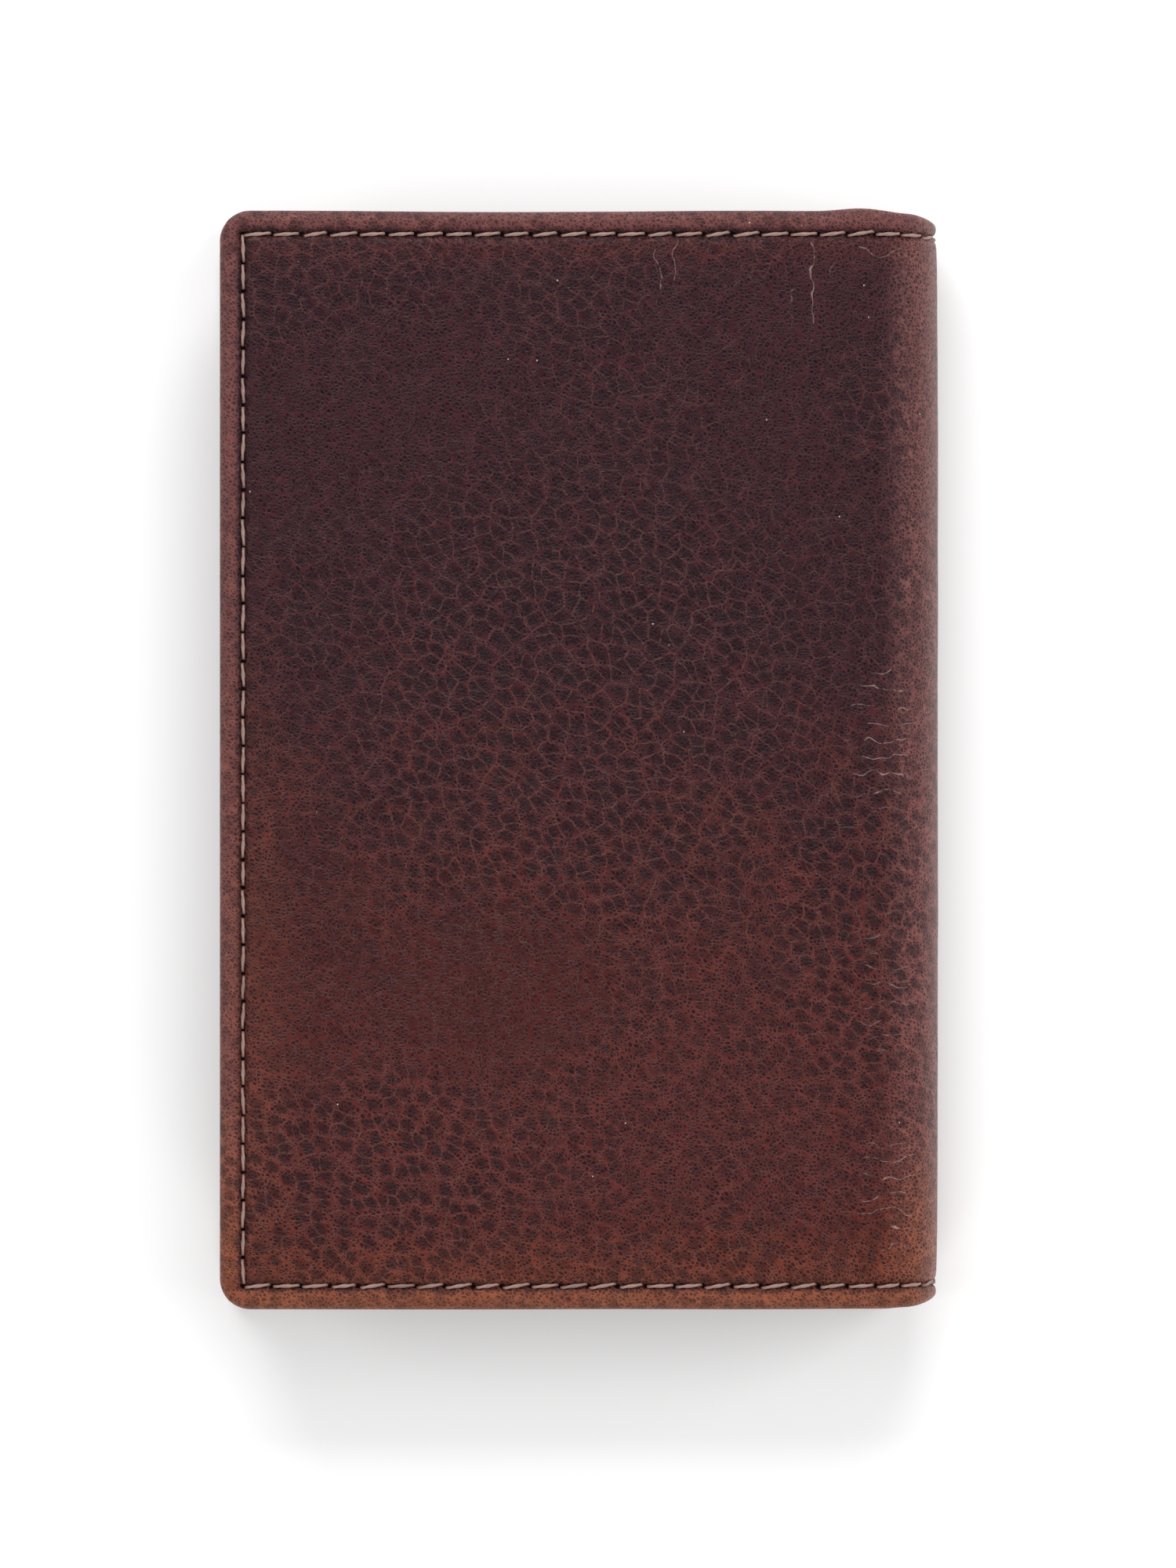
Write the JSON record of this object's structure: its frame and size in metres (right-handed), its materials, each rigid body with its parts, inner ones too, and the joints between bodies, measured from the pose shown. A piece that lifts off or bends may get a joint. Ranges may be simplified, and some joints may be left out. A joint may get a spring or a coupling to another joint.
{
  "type": "business card case",
  "caption": "Folding leather case for business cards, with stitched turned edges all round, a gusseted card pocket in its back half and stepped card slots in its front half.",
  "frame": {"origin": "middle of the underside of the closed case, lying on its back cover", "axes": "+X to the spine, +Y up the case's height, +Z from the back cover to the front cover"},
  "size_m": [0.07, 0.107, 0.013],
  "materials": {
    "outer_leather": "semi-matt grained, burnished edges",
    "inner_leather": "smooth matt",
    "stiffener": "bonded leather fibre board",
    "filler": "thin felt",
    "lining": "twill",
    "thread": "twisted waxed thread"
  },
  "bodies": {
    "back": {"back_cover": "outer_leather", "back_stiffener": "stiffener", "back_filler": "filler", "back_lining": "lining", "back_thread": "thread", "pocket_gusset": "lining"},
    "pocket": {"pocket_front": "inner_leather", "pocket_thread": "thread"},
    "spine_1": {"spine_leather_1": "outer_leather", "spine_stiffener_1": "stiffener", "spine_lining_1": "lining", "spine_thread_1": "thread"},
    "spine_2": {"spine_leather_2": "outer_leather", "spine_stiffener_2": "stiffener", "spine_lining_2": "lining", "spine_thread_2": "thread"},
    "spine_3": {"spine_leather_3": "outer_leather", "spine_stiffener_3": "stiffener", "spine_lining_3": "lining", "spine_thread_3": "thread"},
    "front": {"front_cover": "outer_leather", "front_stiffener": "stiffener", "front_filler": "filler", "front_lining": "lining", "front_thread": "thread", "card_slot_1": "inner_leather", "card_slot_2": "inner_leather", "card_slot_3": "inner_leather"}
  },
  "joints": [
    {"name": "fold_1", "type": "hinge", "parent": "back", "child": "spine_1", "pos_m": [0.03099, 0, 0.00049], "axis": [0, 1, 0], "range_deg": [0, 45]},
    {"name": "fold_2", "type": "hinge", "parent": "spine_1", "child": "spine_2", "pos_m": [0.03451, 0, 0.00401], "axis": [0, 1, 0], "range_deg": [0, 45]},
    {"name": "fold_3", "type": "hinge", "parent": "spine_2", "child": "spine_3", "pos_m": [0.03451, 0, 0.00899], "axis": [0, 1, 0], "range_deg": [0, 45]},
    {"name": "fold_4", "type": "hinge", "parent": "spine_3", "child": "front", "pos_m": [0.03099, 0, 0.01251], "axis": [0, 1, 0], "range_deg": [0, 45]},
    {"name": "pocket_lift", "type": "hinge", "parent": "back", "child": "pocket", "pos_m": [-0.0318, 0, 0.0072], "axis": [0, -1, 0], "range_deg": [0, 4.5], "deforming": ["pocket_gusset"]}
  ],
  "couplings": [
    {"joint": "fold_2", "follows": "fold_1", "ratio": 1},
    {"joint": "fold_3", "follows": "fold_1", "ratio": 1},
    {"joint": "fold_4", "follows": "fold_1", "ratio": 1},
    {"joint": "pocket_lift", "follows": "fold_1", "ratio": 0.1}
  ]
}
